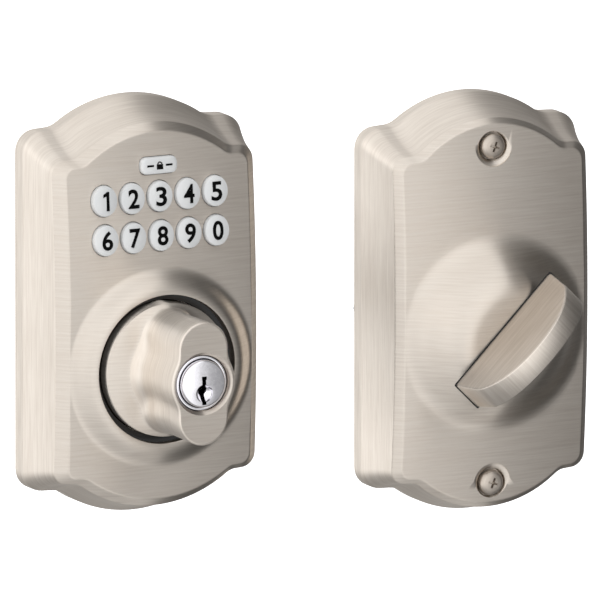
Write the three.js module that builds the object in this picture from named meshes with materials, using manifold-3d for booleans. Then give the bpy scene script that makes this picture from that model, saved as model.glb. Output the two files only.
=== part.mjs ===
// Keypad smart lock, both halves side by side as they hang on a door's two faces.
// Millimetres, +Z up. The door's face is the plane y = 0 and everything visible stands out along -Y,
// so "depth" below is the distance in front of the door, y = -depth.
// The origin is where the outside half's spindle axis meets the door.

import * as THREE from 'three';
import { mergeVertices } from 'three/addons/utils/BufferGeometryUtils.js';
import Module from 'manifold-3d';

const wasm = await Module();
wasm.setup();

// ---------- driving dimensions ----------

const GAP = 0.3; // clearance between pieces that touch or slide
const INSIDE_X = 113.3; // inside half's spindle axis, level with the outside one
const CROWN_RADIUS = 490; // both faces bow outwards from top to bottom
const SIDE_BOW = 0.7; // and fall away this much towards their two sides
const FACE_HALF_WIDTH = 30;
const WALL = 2.2; // wall of the cast covers
const OUTLINE_RISE = 0.12; // how much each shoulder climbs towards its arch

// Half width at the straight sides, height to the arch and to the shoulders above and below the middle,
// and the radii that join them.
function outlineSizes(side, [up, down], [shoulderUp, shoulderDown], corner, valley, shelf) {
  return { side, up, down, shoulderUp, shoulderDown, corner, valley, shelf };
}

// Back outline, then the steps inwards from it to the bevel's outer and inner edges.
const OUTSIDE_COVER = {
  centreZ: 16.2,
  crownZ: 6.5,
  depth: 25.7,
  lipDepth: 5.2,
  bevelDepth: 3.4,
  back: outlineSizes(36.6, [63.5, 63.5], [55, 55], 6.5, 8, 2.7),
  wallInset: outlineSizes(2.9, [5.8, 4.1], [6.8, 4.6], 2, 2.5, 0.9),
  bevelInset: outlineSizes(3.3, [2.3, 2.6], [1.8, 1.9], 1.5, 0.5, 0.3),
};
const INSIDE_COVER = {
  centreZ: 6.8,
  crownZ: 10,
  depth: 24,
  lipDepth: 4.6,
  bevelDepth: 2.5,
  back: outlineSizes(36.1, [64, 64], [55.3, 55.3], 6.5, 8, 2.7),
  wallInset: outlineSizes(3.5, [5.5, 2.8], [6.5, 3.7], 2, 2.5, 0.9),
  bevelInset: outlineSizes(2.45, [1.4, 1.9], [1.5, 1.5], 1.2, 0.5, 0.3),
};

const DOME_FOOT = 31; // radius where a cover's round swelling begins
const OUTSIDE_DOME = 3.6; // how far it stands above the face at the knob's hole
const INSIDE_DOME = 11.2;
const INSIDE_DOME_TOP = 16.3; // radius of the inside swelling's nearly flat top

const KNOB_HOLE_RADIUS = 22.75;
const KNOB_RADIUS = 20.4;
const KNOB_DEPTH = 53.8;
const KNOB_LIP = 29.3; // depth of the knob disc's front edge
const HANDLE_HALF_HEIGHT = 18.85;
const HANDLE_HALF_WIDTH = 8; // at its two lobes
const HANDLE_BULGE = 10.5; // radius round the key cylinder
const CYLINDER_RADIUS = 8.3;
const PLUG_RADIUS = 7.25;
const KEYWAY_WIDTH = 1.3;

const KEY_WIDTH = 8.2;
const KEY_HEIGHT = 9.5;
const KEY_PITCH_X = 9.25;
const KEY_PITCH_Z = 11.9;
const KEY_PROUD = 1.7;
const KEY_TRAVEL = 1.2;
const KEYPAD_Z = 46.2; // middle of the two rows
const PROGRAM_KEY_Z = 61.5;
const PROGRAM_KEY_WIDTH = 12.2;
const PROGRAM_KEY_HEIGHT = 5.2;

const TURN_LENGTH = 44.9; // inside thumbturn
const TURN_THICKNESS = 10.5; // at its base
const TURN_RIM_THICKNESS = 7.2;
const TURN_HEIGHT = 21.4;
const TURN_END_HEIGHT = 10.8;
const SCREW_UP_Z = 57; // cover screws, from the spindle axis
const SCREW_DOWN_Z = -46.5;
const SCREW_HEAD_RADIUS = 3.9;
const SCREW_HOLE_RADIUS = 2.4;

const BOLT_SPACING = 38; // the two through-bolts, level with the spindle
const BOLT_RADIUS = 2.4;
const BOLT_REACH = 30; // how far they stand behind the door face
const POST_REACH = 14;
const TAILPIECE_REACH = 34;
const TAILPIECE_WIDTH = 7;
const TAILPIECE_THICKNESS = 2.2;

const CELL_RADIUS = 5.25; // AAA cells
const CELL_LENGTH = 44.5;
const CELL_PITCH = 10.8;
const LOWEST_CELL_Z = 14.2;

// ---------- finishes ----------

function finish(color, roughness, metalness) {
  return new THREE.MeshStandardMaterial({ color, roughness, metalness });
}
const satinNickel = finish(0xcfc6ba, 0.38, 1);
const chrome = finish(0xd6d2d6, 0.15, 1);
const steel = finish(0xa9abad, 0.45, 1);
const brass = finish(0xb9975b, 0.4, 1);
const keyPlastic = finish(0xd7d9d8, 0.35, 0);
const blackPlastic = finish(0x1b1b1c, 0.6, 0);
const greyRubber = finish(0x3a3b3c, 0.85, 0);
const boardGreen = finish(0x1f5b3a, 0.55, 0);
const batteryWrap = finish(0x2f3a44, 0.4, 0);

// ---------- geometry helpers ----------

// One body with shared corners and its faces outwards.
function closed(geometry) {
  const bare = geometry.clone();
  bare.deleteAttribute('normal');
  bare.deleteAttribute('uv');
  const merged = mergeVertices(bare, 1e-5);
  const position = merged.attributes.position;
  const index = merged.index.array;
  const corner = [new THREE.Vector3(), new THREE.Vector3(), new THREE.Vector3()];
  const kept = [];
  let volume = 0;
  for (let i = 0; i < index.length; i += 3) {
    const [a, b, c] = index.slice(i, i + 3);
    if (a === b || b === c || a === c) continue;
    kept.push(a, b, c);
    [a, b, c].forEach((vertex, k) => corner[k].fromBufferAttribute(position, vertex));
    volume += corner[0].dot(corner[1].cross(corner[2]));
  }
  if (volume < 0) kept.reverse();
  merged.setIndex(kept);
  return merged;
}

function solid(geometry) {
  const merged = closed(geometry);
  const vertProperties = new Float32Array(merged.attributes.position.array);
  const triVerts = new Uint32Array(merged.index.array);
  return new wasm.Manifold(new wasm.Mesh({ numProp: 3, vertProperties, triVerts }));
}

function fromSolid(body) {
  const mesh = body.getMesh();
  const geometry = new THREE.BufferGeometry();
  geometry.setAttribute('position', new THREE.BufferAttribute(new Float32Array(mesh.vertProperties), 3));
  geometry.setIndex(Array.from(mesh.triVerts));
  return geometry;
}

function join(first, ...others) {
  return fromSolid(others.reduce((body, other) => body.add(solid(other)), solid(first)));
}

function cut(first, ...others) {
  return fromSolid(others.reduce((body, other) => body.subtract(solid(other)), solid(first)));
}

// A ring or disc turned about the Y axis from [radius, depth] corners.
function turned(profile, segments = 40) {
  const points = profile.map(([radius, depth]) => new THREE.Vector2(radius, -depth));
  return closed(new THREE.LatheGeometry(points, segments));
}

function disc(radius, from, to, segments = 40) {
  return turned([[0, from], [radius, from], [radius, to], [0, to]], segments);
}

function ring(inner, outer, from, to, segments = 40) {
  return turned([[inner, from], [outer, from], [outer, to], [inner, to], [inner, from]], segments);
}

// A flat shape drawn in X and Z, thick from one depth to another.
function slab(shape, from, to, bevel = 0) {
  const settings = { depth: to - from - 2 * bevel, bevelEnabled: bevel > 0, curveSegments: 6 };
  Object.assign(settings, { bevelThickness: bevel, bevelSize: bevel, bevelOffset: -bevel, bevelSegments: 2 });
  const geometry = new THREE.ExtrudeGeometry(shape, settings);
  return closed(geometry.rotateX(Math.PI / 2).translate(0, -(from + bevel), 0));
}

function block(x0, x1, z0, z1, from, to) {
  const geometry = new THREE.BoxGeometry(x1 - x0, to - from, z1 - z0);
  return closed(geometry.translate((x0 + x1) / 2, -(from + to) / 2, (z0 + z1) / 2));
}

// A straight rod along X.
function rod(radius, from, to, segments = 20) {
  const geometry = new THREE.CylinderGeometry(radius, radius, to - from, segments);
  return closed(geometry.translate(0, (from + to) / 2, 0).rotateZ(-Math.PI / 2));
}

const polygon = (points) => new THREE.Shape(points.map(([x, z]) => new THREE.Vector2(x, z)));

function ellipse(radiusX, radiusZ, x = 0, z = 0) {
  return new THREE.Shape().absellipse(x, z, radiusX, radiusZ, 0, 2 * Math.PI, false, 0);
}

const mesh = (name, geometry, material) => {
  const piece = new THREE.Mesh(geometry, material);
  piece.name = name;
  return piece;
};

// ---------- cover outline: straight sides, rounded corners, shoulders and a central arch ----------

function arc(x, z, radius, from, to, steps) {
  return Array.from({ length: steps + 1 }, (_, i) => {
    const angle = from + ((to - from) * i) / steps;
    return [x + radius * Math.cos(angle), z + radius * Math.sin(angle)];
  });
}

// From the side up to the top of the arch. The arch's radius follows from touching the valley arc.
function shoulderAndArch(halfWidth, height, shoulder, corner, valley, shelf) {
  const valleyX = halfWidth - corner - shelf;
  const valleyZ = shoulder + OUTLINE_RISE + valley;
  const offset = valleyZ - height;
  const arch = (valleyX ** 2 + offset ** 2 - valley ** 2) / (2 * (valley - offset));
  const direction = Math.atan2(offset + arch, valleyX);
  return [
    ...arc(halfWidth - corner, shoulder - corner, corner, 0, Math.PI / 2, 4),
    ...arc(valleyX, valleyZ, valley, -Math.PI / 2, direction - Math.PI, 2),
    ...arc(0, height - arch, arch, direction, Math.PI / 2, 6).slice(1),
  ];
}

// The right half of an outline, from its lowest point to its highest, and the other half by mirroring.
function halfOutline(o, centreZ) {
  const upper = shoulderAndArch(o.side, o.up, o.shoulderUp, o.corner, o.valley, o.shelf);
  const lower = shoulderAndArch(o.side, o.down, o.shoulderDown, o.corner, o.valley, o.shelf);
  const side = [];
  const sideSteps = 6;
  const bottomEnd = -lower[0][1];
  for (let i = 1; i < sideSteps; i += 1) {
    side.push([o.side, bottomEnd + ((upper[0][1] - bottomEnd) * i) / sideSteps]);
  }
  const mirrored = lower.map(([x, z]) => [x, -z]).reverse();
  const half = [...mirrored, ...side, ...upper];
  half[0][0] = 0;
  half[half.length - 1][0] = 0;
  return half.map(([x, z]) => [x, z + centreZ]);
}

function stepInwards(o, inset, share = 1) {
  return {
    side: o.side - inset.side * share,
    up: o.up - inset.up * share,
    down: o.down - inset.down * share,
    shoulderUp: o.shoulderUp - inset.shoulderUp * share,
    shoulderDown: o.shoulderDown - inset.shoulderDown * share,
    corner: o.corner - inset.corner * share,
    valley: o.valley - inset.valley * share,
    shelf: o.shelf - inset.shelf * share,
  };
}

const allRound = (distance) => ({
  side: distance,
  up: distance,
  down: distance,
  shoulderUp: distance,
  shoulderDown: distance,
  corner: Math.min(distance / 2, 1.5),
  valley: 0,
  shelf: 0,
});

function outlineShape(outline, centreZ) {
  const half = halfOutline(outline, centreZ);
  const left = half.slice(1, -1).map(([x, z]) => [-x, z]);
  return polygon([...half, ...left.reverse()]);
}

const crownDrop = (cover, z) => (z - cover.crownZ) ** 2 / (2 * CROWN_RADIUS);
const faceDrop = (cover, x, z) => crownDrop(cover, z) + SIDE_BOW * (x / FACE_HALF_WIDTH) ** 2;

// Joins a stack of half outlines, each at its own depth, into one body. share is how much of the
// face's bow that layer takes up.
function coverBody(cover, layers) {
  const positions = [];
  const index = [];
  const halves = layers.map((layer) => halfOutline(layer.outline, cover.centreZ));
  const count = halves[0].length;
  const around = 2 * count - 2;
  const left = (i) => (i === 0 || i === count - 1 ? i : around - i);
  halves.forEach((half, k) => {
    const { depth, share } = layers[k];
    const loop = [...half, ...half.slice(1, -1).map(([x, z]) => [-x, z]).reverse()];
    loop.forEach(([x, z]) => positions.push(x, -(depth - share * faceDrop(cover, x, z)), z));
  });
  for (let k = 0; k + 1 < layers.length; k += 1) {
    for (let i = 0; i < around; i += 1) {
      const a = k * around + i;
      const b = k * around + ((i + 1) % around);
      index.push(a, b, b + around, a, b + around, a + around);
    }
  }
  for (let i = 0; i + 1 < count; i += 1) {
    const [a, b, c, d] = [i, i + 1, left(i + 1), left(i)];
    index.push(a, c, b, a, d, c);
  }
  // The front is cut into columns, so that it can bow from side to side as well.
  const front = layers[layers.length - 1];
  const columns = [1, 0.6, 0.2, -0.2, -0.6, -1];
  const firstFront = positions.length / 3;
  halves[layers.length - 1].forEach(([edge, z]) => {
    columns.forEach((part) => {
      const x = edge * part;
      positions.push(x, -(front.depth - front.share * faceDrop(cover, x, z)), z);
    });
  });
  for (let i = 0; i + 1 < count; i += 1) {
    for (let column = 0; column + 1 < columns.length; column += 1) {
      const a = firstFront + i * columns.length + column;
      const b = a + columns.length;
      index.push(a, b, b + 1, a, b + 1, a + 1);
    }
  }
  const geometry = new THREE.BufferGeometry();
  geometry.setAttribute('position', new THREE.Float32BufferAttribute(positions, 3));
  geometry.setIndex(index);
  return closed(geometry);
}

// Lip square to the door, slightly hollow wall, bevel and bowed face.
function outerLayers(cover) {
  const bevelTop = cover.depth - cover.bevelDepth;
  const wallHeight = bevelTop - cover.lipDepth;
  const shoulder = stepInwards(cover.back, cover.wallInset);
  const layers = [
    { outline: cover.back, depth: 0, share: 0 },
    { outline: cover.back, depth: cover.lipDepth, share: 0 },
  ];
  for (const part of [0.45, 1]) {
    const hollow = part + 0.1 * Math.sin(Math.PI * part);
    const outline = stepInwards(cover.back, cover.wallInset, hollow);
    const depth = cover.lipDepth + wallHeight * part;
    layers.push({ outline, depth, share: part * (bevelTop / cover.depth) });
  }
  layers.push({ outline: stepInwards(shoulder, cover.bevelInset), depth: cover.depth, share: 1 });
  return layers;
}

const cavityOutline = (cover, spare = 0) =>
  stepInwards(stepInwards(cover.back, cover.wallInset), allRound(WALL + spare));

function coverCavity(cover) {
  const outline = cavityOutline(cover);
  return coverBody(cover, [
    { outline, depth: -1, share: 0 },
    { outline, depth: cover.depth - WALL - 1, share: 1 },
  ]);
}

// Moves a shape built for a flat face onto the bowed one.
function bowed(cover, geometry) {
  const position = geometry.attributes.position;
  for (let i = 0; i < position.count; i += 1) {
    position.setY(i, position.getY(i) + faceDrop(cover, position.getX(i), position.getZ(i)));
  }
  return geometry;
}

// Round swelling on a face: a hollow curve at the foot and a full one at the shoulder.
function domeHeight(radius, rise, top) {
  const t = Math.min(Math.max((DOME_FOOT - radius) / (DOME_FOOT - top), 0), 1);
  return rise * t * t * (3 - 2 * t);
}

function dome(cover, rise, top) {
  const steps = 6;
  const buried = 3;
  const skirt = DOME_FOOT + 0.3;
  const profile = [[0, cover.depth - buried], [skirt, cover.depth - buried], [skirt, cover.depth - 0.1]];
  for (let i = 1; i <= steps; i += 1) {
    const radius = DOME_FOOT + ((top - DOME_FOOT) * i) / steps;
    profile.push([radius, cover.depth + domeHeight(radius, rise, top)]);
  }
  profile.push([0, cover.depth + rise]);
  return bowed(cover, turned(profile, 40));
}

// ---------- outside half: cover ----------

const outsideHalf = new THREE.Group();

// The keypad stands square to the bowed face, so it leans back by the face's slope there.
const keypadDepth = OUTSIDE_COVER.depth - crownDrop(OUTSIDE_COVER, KEYPAD_Z);
const keypadTilt = -Math.atan((KEYPAD_Z - OUTSIDE_COVER.crownZ) / CROWN_RADIUS);
const keypadPlace = new THREE.Matrix4()
  .makeTranslation(0, -keypadDepth, KEYPAD_Z)
  .multiply(new THREE.Matrix4().makeRotationX(keypadTilt));
const onKeypad = (geometry) => geometry.clone().applyMatrix4(keypadPlace);

// Inside the keypad's own frame a depth counts forwards from the face, so what is behind is negative.
const PANEL = 2.2; // metal left in front of the keypad's pocket
const keyCentres = [0, 1].flatMap((row) =>
  [0, 1, 2, 3, 4].map((column) => [(column - 2) * KEY_PITCH_X, (0.5 - row) * KEY_PITCH_Z]),
);
const keyHoleX = KEY_WIDTH / 2 + 0.2;
const keyHoleZ = KEY_HEIGHT / 2 + 0.2;
const programKeyZ = PROGRAM_KEY_Z - KEYPAD_Z;

function programKeyShape(spare = 0) {
  const x = PROGRAM_KEY_WIDTH / 2 + spare;
  const z = PROGRAM_KEY_HEIGHT / 2 + spare;
  const round = 2.2 + spare;
  const shape = new THREE.Shape();
  shape.moveTo(-x + round, -z);
  shape.lineTo(x - round, -z);
  shape.quadraticCurveTo(x, -z, x, 0);
  shape.quadraticCurveTo(x, z, x - round, z);
  shape.lineTo(-x + round, z);
  shape.quadraticCurveTo(-x, z, -x, 0);
  shape.quadraticCurveTo(-x, -z, -x + round, -z);
  return shape;
}

// Fixings shared by the cover, the rear plate and its screws.
const FIXING_INSET = 8.9; // from the cover's straight side
const [FIXING_UP, FIXING_DOWN] = [38.9, 40.1]; // from the cover's middle
const cornerFixings = [[-1, 1], [1, 1], [-1, -1], [1, -1]].map(([x, z]) => [
  x * (OUTSIDE_COVER.back.side - FIXING_INSET),
  OUTSIDE_COVER.centreZ + (z > 0 ? FIXING_UP : -FIXING_DOWN),
]);
const PLATE_FRONT = 2.7;
const PLATE_BACK = 1.2;
const BOSS_RADIUS = 2.8;
const PILOT_RADIUS = 1.4;

const COLLAR_FRONT = OUTSIDE_COVER.depth - 0.4;
const COLLAR_BACK = COLLAR_FRONT - 3.6;
const COLLAR_OUTER = KNOB_HOLE_RADIUS + 1.8;
const COLLAR_INNER = KNOB_RADIUS + GAP;
const POCKET_RADIUS = COLLAR_OUTER + GAP;
const KEEPER_FRONT = COLLAR_BACK - 3.5;
const KEEPER_BACK = KEEPER_FRONT - 1.5;
const KEEPER_INNER = 13;
const FLANGE_RADIUS = KNOB_RADIUS + 2.2;

const GASKET_WIDTH = 3.4;
const GASKET_DEPTH = 1.2;
const gasketOuter = stepInwards(OUTSIDE_COVER.back, allRound(1.8));
const gasketInner = stepInwards(gasketOuter, allRound(GASKET_WIDTH));

const gasketRing = (spare, from, to) =>
  cut(
    slab(outlineShape(stepInwards(gasketOuter, allRound(-spare)), OUTSIDE_COVER.centreZ), from, to),
    slab(outlineShape(stepInwards(gasketInner, allRound(spare)), OUTSIDE_COVER.centreZ), from - 1, to + 1),
  );

const bossTop = (z) => OUTSIDE_COVER.depth - crownDrop(OUTSIDE_COVER, z) - 1.5;
const outsideBosses = cornerFixings.map(([x, z]) =>
  disc(BOSS_RADIUS, PLATE_FRONT + GAP, bossTop(z), 12).translate(x, 0, z),
);
const keypadPocket = block(-25, 25, -14, 14, -12, -PANEL);
const programPocket = block(-9, 9, 10, programKeyZ + PROGRAM_KEY_HEIGHT / 2 + 1.6, -12, -PANEL);

const outsideShell = cut(
  join(
    coverBody(OUTSIDE_COVER, outerLayers(OUTSIDE_COVER)),
    dome(OUTSIDE_COVER, OUTSIDE_DOME, KNOB_HOLE_RADIUS),
  ),
  coverCavity(OUTSIDE_COVER),
  disc(KNOB_HOLE_RADIUS, 0, KNOB_DEPTH),
  disc(POCKET_RADIUS, 0, COLLAR_FRONT + GAP),
  onKeypad(keypadPocket),
  onKeypad(programPocket),
  ...keyCentres.map(([x, z]) => onKeypad(slab(ellipse(keyHoleX, keyHoleZ, x, z), -8, 4))),
  onKeypad(slab(programKeyShape(0.2), -8, 4).translate(0, 0, programKeyZ)),
  gasketRing(GAP, -1, GASKET_DEPTH),
);
const outsideCover = cut(
  join(outsideShell, ...outsideBosses),
  ...cornerFixings.map(([x, z]) => disc(PILOT_RADIUS, 0, 11, 12).translate(x, 0, z)),
);
outsideHalf.add(mesh('exterior_escutcheon', outsideCover, satinNickel));
outsideHalf.add(mesh('weather_gasket', gasketRing(0, 0, GASKET_DEPTH - GAP), greyRubber));

// ---------- outside half: keypad ----------

const keypad = new THREE.Group();
keypad.position.set(0, -keypadDepth, KEYPAD_Z);
keypad.rotation.x = keypadTilt;
outsideHalf.add(keypad);

const FLANGE_BACK = PANEL + GAP + 0.8;
const MEMBRANE_FRONT = FLANGE_BACK + KEY_TRAVEL + GAP;
const MEMBRANE_BACK = MEMBRANE_FRONT + 0.8;
const BOARD_FRONT = MEMBRANE_BACK + GAP;
const BOARD_BACK = BOARD_FRONT + 1.2;

function keyCap() {
  const radius = KEY_HEIGHT / 2;
  const flange = radius + 0.4;
  const profile = [
    [0, KEY_PROUD],
    [0.6 * radius, KEY_PROUD - 0.15],
    [0.93 * radius, KEY_PROUD - 0.7],
    [radius, 0],
    [radius, -(PANEL + GAP)],
    [flange, -(PANEL + GAP)],
    [flange, -FLANGE_BACK],
    [0, -FLANGE_BACK],
  ];
  return turned(profile, 14).scale(KEY_WIDTH / KEY_HEIGHT, 1, 1);
}

const keyNames = ['1', '2', '3', '4', '5', '6', '7', '8', '9', '0'];
keyCentres.forEach(([x, z], i) => {
  const key = mesh(`key_${keyNames[i]}`, keyCap(), keyPlastic);
  key.position.set(x, 0, z);
  keypad.add(key);
});

const programKey = mesh(
  'program_key',
  join(
    slab(programKeyShape(), -(PANEL + GAP + 0.2), 1.3, 0.3),
    block(-7, 7, -PROGRAM_KEY_HEIGHT / 2 - 0.7, PROGRAM_KEY_HEIGHT / 2 + 0.7, -FLANGE_BACK, -(PANEL + GAP)),
  ),
  keyPlastic,
);
programKey.position.z = programKeyZ;
keypad.add(programKey);

function tShape(halfWidth, halfHeight, stemHalf, stemTop) {
  return polygon([
    [-halfWidth, -halfHeight], [halfWidth, -halfHeight], [halfWidth, halfHeight], [stemHalf, halfHeight],
    [stemHalf, stemTop], [-stemHalf, stemTop], [-stemHalf, halfHeight], [-halfWidth, halfHeight],
  ]);
}
const stemTop = programKeyZ + PROGRAM_KEY_HEIGHT / 2 + 1;
const boardShape = tShape(24, 13, 8, stemTop);
keypad.add(mesh('keypad_membrane', slab(boardShape, -MEMBRANE_BACK, -MEMBRANE_FRONT), greyRubber));
const boardSlab = slab(boardShape, -BOARD_BACK, -BOARD_FRONT);
const cableHeader = block(-5, 5, -9, -5, -(BOARD_BACK + 2.5), -BOARD_BACK + 0.2);
const controller = block(6, 14, -4, 4, -(BOARD_BACK + 1), -BOARD_BACK + 0.2);
keypad.add(mesh('keypad_board', join(boardSlab, cableHeader, controller), boardGreen));

// ---------- outside half: knob and key cylinder ----------

// Distance from the middle to the handle's outline: two round lobes and a bulge round the cylinder.
function handleReach(angle) {
  const c = Math.abs(Math.cos(angle));
  const s = Math.abs(Math.sin(angle));
  const lobe = HANDLE_HALF_HEIGHT - HANDLE_HALF_WIDTH;
  const straight = HANDLE_HALF_WIDTH / Math.max(c, 1e-6);
  const onStraight = straight * s <= lobe;
  const onLobe = lobe * s + Math.sqrt(HANDLE_HALF_WIDTH ** 2 - (lobe * c) ** 2 || 0);
  const reach = onStraight ? straight : onLobe;
  const sharpness = 12;
  return (reach ** sharpness + HANDLE_BULGE ** sharpness) ** (1 / sharpness);
}

// A stack of closed sections about the Y axis, each [x, z] a function of the angle.
function stacked(sections, segments) {
  const positions = [];
  const index = [];
  sections.forEach(({ depth, point }) => {
    for (let i = 0; i < segments; i += 1) {
      const [x, z] = point((2 * Math.PI * i) / segments);
      positions.push(x, -depth, z);
    }
  });
  for (let k = 0; k + 1 < sections.length; k += 1) {
    for (let i = 0; i < segments; i += 1) {
      const a = k * segments + i;
      const b = k * segments + ((i + 1) % segments);
      index.push(a, b, b + segments, a, b + segments, a + segments);
    }
  }
  const last = (sections.length - 1) * segments;
  for (let i = 1; i + 1 < segments; i += 1) {
    index.push(0, i + 1, i);
    index.push(last, last + i, last + i + 1);
  }
  const geometry = new THREE.BufferGeometry();
  geometry.setAttribute('position', new THREE.Float32BufferAttribute(positions, 3));
  geometry.setIndex(index);
  return closed(geometry);
}

// blend goes from the round base to the handle's outline; waist narrows it sideways.
function knobSection(depth, blend, waist = 1, inset = 0) {
  const point = (angle) => {
    const reach = handleReach(angle) - inset;
    const radius = KNOB_RADIUS * (1 - blend) + reach * blend * (1 + (waist - 1) * Math.abs(Math.cos(angle)));
    return [radius * Math.cos(angle), radius * Math.sin(angle)];
  };
  return { depth, point };
}

const knobBody = stacked(
  [
    knobSection(COLLAR_BACK - GAP - 0.5, 0),
    knobSection(KNOB_LIP, 0),
    knobSection(KNOB_LIP + 1.2, 0.12, 0.97),
    knobSection(KNOB_LIP + 2.6, 0.45, 0.94),
    knobSection(KNOB_LIP + 4.4, 0.78, 0.92),
    knobSection(KNOB_LIP + 7.5, 0.96, 0.89),
    knobSection(KNOB_LIP + 13, 1, 0.91),
    knobSection(KNOB_DEPTH - 4, 1, 0.96),
    knobSection(KNOB_DEPTH - 0.8, 1),
    knobSection(KNOB_DEPTH, 1, 1, 0.7),
  ],
  40,
);
const flangeFront = COLLAR_BACK - GAP;
const flangeRear = KEEPER_FRONT + GAP;
const neckRadius = KEEPER_INNER - GAP;
const neckRear = 7;
const knobRear = turned(
  [
    [0, neckRear],
    [neckRadius, neckRear],
    [neckRadius, flangeRear],
    [FLANGE_RADIUS, flangeRear],
    [FLANGE_RADIUS, flangeFront],
    [0, flangeFront],
  ],
  32,
);
const DISH_RADIUS = HANDLE_BULGE - 0.9;
const dishFloor = KNOB_DEPTH - 1.1;
const dishTop = KNOB_DEPTH + 0.1;
const dish = turned(
  [[0, dishFloor], [CYLINDER_RADIUS + 0.4, dishFloor], [DISH_RADIUS, dishTop], [0, dishTop]],
  36,
);
const cylinderBore = disc(CYLINDER_RADIUS + GAP, 0, KNOB_DEPTH + 1, 32);
outsideHalf.add(mesh('outside_turn', cut(join(knobBody, knobRear), dish, cylinderBore), satinNickel));
const collar = ring(COLLAR_INNER, COLLAR_OUTER, COLLAR_BACK, COLLAR_FRONT, 36);
outsideHalf.add(mesh('turn_collar', collar, blackPlastic));
const keeper = ring(KEEPER_INNER, POCKET_RADIUS - 0.6, KEEPER_BACK, KEEPER_FRONT, 32);
outsideHalf.add(mesh('turn_keeper', keeper, steel));

const plugFront = KNOB_DEPTH + 0.2;
const plugRear = 8;
const shell = ring(PLUG_RADIUS + GAP, CYLINDER_RADIUS, plugRear, KNOB_DEPTH - 0.5, 32);
outsideHalf.add(mesh('cylinder_shell', shell, chrome));
const plugEdge = 0.4;
const plugBlank = turned(
  [
    [0, plugRear],
    [PLUG_RADIUS, plugRear],
    [PLUG_RADIUS, plugFront - plugEdge],
    [PLUG_RADIUS - plugEdge, plugFront],
    [0, plugFront],
  ],
  32,
);
const keywayDepth = 26;
const keywayBottom = -(PLUG_RADIUS - 0.9);
const keywayTop = 2.2;
const narrow = KEYWAY_WIDTH / 2;
const wide = narrow + 0.7; // at the ward half way down
const keyway = polygon([
  [-narrow, keywayBottom],
  [narrow, keywayBottom],
  [narrow, -3.4],
  [wide, -2.6],
  [wide, -1.4],
  [narrow, -0.6],
  [narrow, keywayTop],
  [-narrow, keywayTop],
  [-narrow, -1],
  [-wide, -1.7],
  [-wide, -3],
  [-narrow, -3.8],
]);
const keyGuide = new THREE.SphereGeometry(3, 14, 8).translate(0.1, -(plugFront + 1.2), -2.9);
const plug = cut(plugBlank, slab(keyway, plugFront - keywayDepth, plugFront + 1), keyGuide);
outsideHalf.add(mesh('cylinder_plug', plug, chrome));
outsideHalf.add(mesh('cylinder_cap', disc(PLUG_RADIUS - 0.6, plugRear - GAP - 2, plugRear - GAP, 20), brass));
const [tailX, tailZ] = [TAILPIECE_WIDTH / 2, TAILPIECE_THICKNESS / 2];
const tailpiece = block(-tailX, tailX, -tailZ, tailZ, -TAILPIECE_REACH, plugRear - 2 * GAP - 2);
outsideHalf.add(mesh('tailpiece', tailpiece, steel));

// ---------- outside half: clutch drive and rear plate ----------

const clutchZ = -32;
const clutchDepth = 9;
const clutch = new THREE.Group();
clutch.position.set(0, -clutchDepth, clutchZ);
outsideHalf.add(clutch);
const motorEnd = -3;
const motorShaft = rod(0.8, motorEnd - 1, motorEnd + 1, 12);
clutch.add(mesh('clutch_motor', join(rod(4, motorEnd - 14, motorEnd), motorShaft), steel));
const wormStart = motorEnd + 1 + GAP;
const wormBody = join(rod(2.4, wormStart, wormStart + 2, 12), rod(1.6, wormStart + 1, wormStart + 15, 12));
clutch.add(mesh('clutch_worm', wormBody, brass));
const NUT_TRAVEL = 4;
const nutStart = wormStart + 3;
const nutBody = block(nutStart, nutStart + 4, -3, 5, -3, 3);
clutch.add(mesh('clutch_nut', cut(nutBody, rod(2, nutStart - 1, nutStart + 5, 12)), blackPlastic));

const postHole = BOLT_SPACING / 2;
const rearPlate = cut(
  slab(outlineShape(cavityOutline(OUTSIDE_COVER, 0.5), OUTSIDE_COVER.centreZ), PLATE_BACK, PLATE_FRONT),
  disc(9, 0, 5, 24),
  ...[-postHole, postHole].map((x) => disc(3.2 + GAP, 0, 5, 12).translate(x, 0, 0)),
  block(-6, 6, 22, 28, 0, 5),
  ...cornerFixings.map(([x, z]) => disc(PILOT_RADIUS + 0.1, 0, 5, 12).translate(x, 0, z)),
);
outsideHalf.add(mesh('rear_plate', rearPlate, steel));

cornerFixings.forEach(([x, z], i) => {
  const screw = turned([[0, 0.1], [2.3, 0.1], [2.3, 0.9], [1.1, 0.9], [1.1, 9], [0, 9]], 10);
  const piece = mesh(`rear_plate_screw_${i + 1}`, screw, steel);
  piece.position.set(x, 0, z);
  outsideHalf.add(piece);
});

// Threaded posts that the through-bolts reach from the other side of the door.
[['left', -postHole], ['right', postHole]].forEach(([side, x]) => {
  const flangeFrom = PLATE_FRONT + GAP;
  const flangeTo = flangeFrom + 1.5;
  const [bore, body, flange] = [2.1, 3.2, 4.6];
  const profile = [
    [bore, -POST_REACH],
    [body, -POST_REACH],
    [body, flangeFrom],
    [flange, flangeFrom],
    [flange, flangeTo],
    [0, flangeTo],
    [0, 0],
    [bore, 0],
    [bore, -POST_REACH],
  ];
  const post = turned(profile, 12);
  const piece = mesh(`threaded_post_${side}`, post, brass);
  piece.position.x = x;
  outsideHalf.add(piece);
});

// ---------- inside half ----------

const insideHalf = new THREE.Group();
insideHalf.position.x = INSIDE_X;

const screwHeights = [SCREW_UP_Z, SCREW_DOWN_Z];
const faceDepthAt = (z) => INSIDE_COVER.depth - crownDrop(INSIDE_COVER, z);
const SHAFT_RADIUS = 3.4; // less than half the blade's thickness, so the blade hides its hole
const insideDomeDepth = INSIDE_COVER.depth + INSIDE_DOME;

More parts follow.
